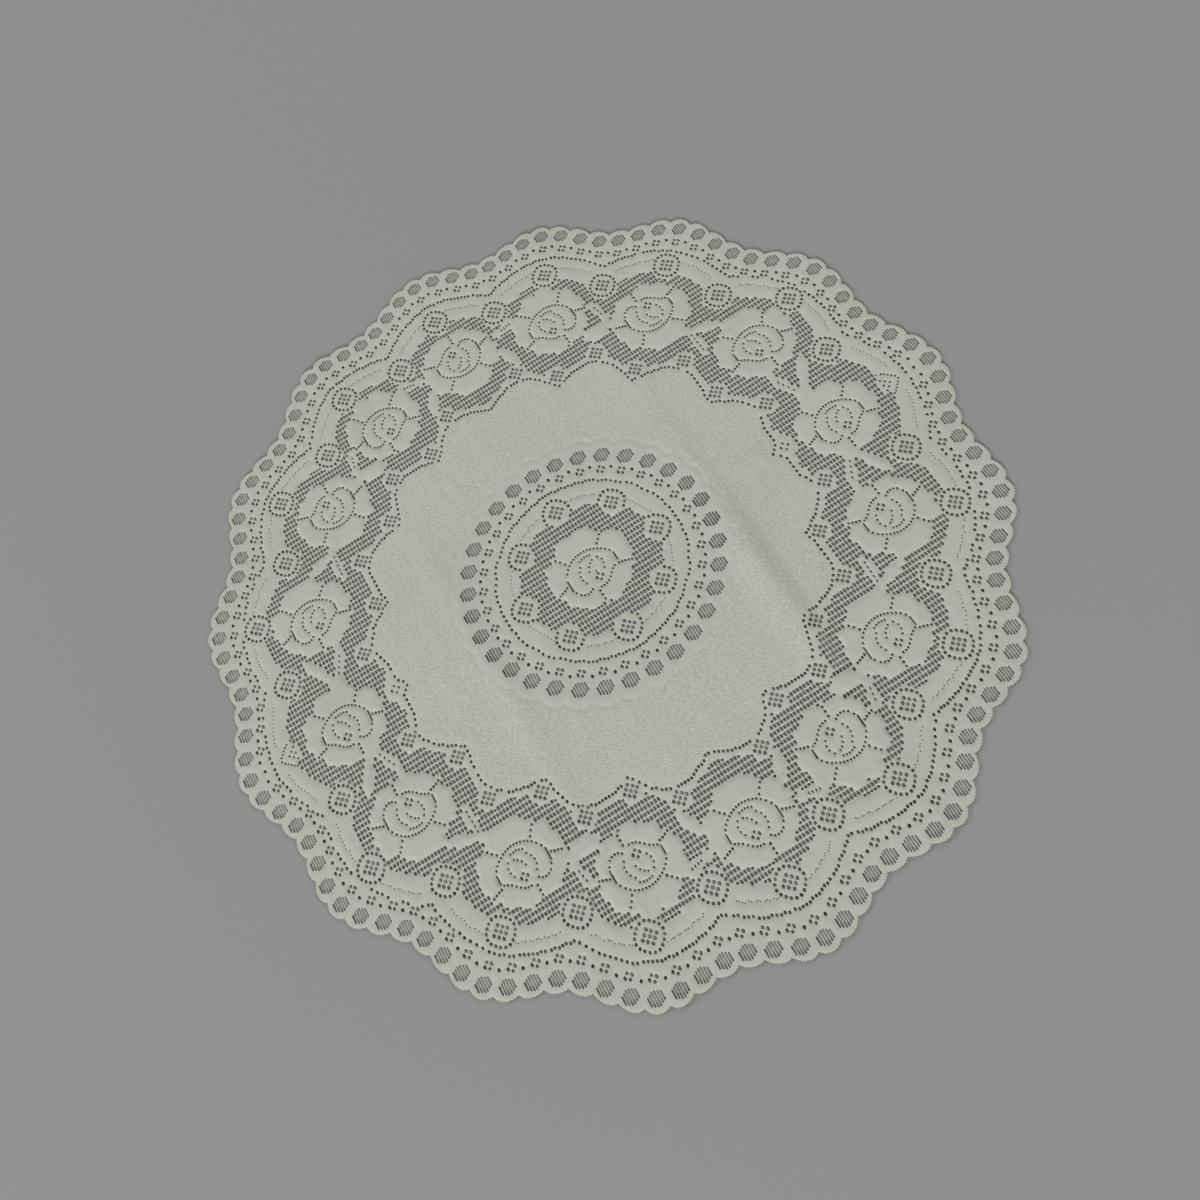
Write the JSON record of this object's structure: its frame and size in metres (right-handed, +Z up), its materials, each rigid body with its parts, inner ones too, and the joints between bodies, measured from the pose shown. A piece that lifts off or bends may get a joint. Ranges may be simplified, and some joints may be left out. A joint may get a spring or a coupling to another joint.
{
  "type": "lace table topper",
  "caption": "Round knitted lace table topper lying flat, with a border of roses, a net ground, a centre medallion and a scalloped edge of eyelets.",
  "frame": {"origin": "middle of the underside, on the surface the topper lies on", "axes": "+Z up out of the surface, +Y along the wales of the knit, towards the top of the upright roses"},
  "size_m": [0.7616, 0.7616, 0.0046],
  "materials": {
    "ivory_lace": "matt knitted yarn, dense in the cloth and open in the net"
  },
  "bodies": {
    "root": {"lace_topper": "ivory_lace"}
  },
  "joints": []
}
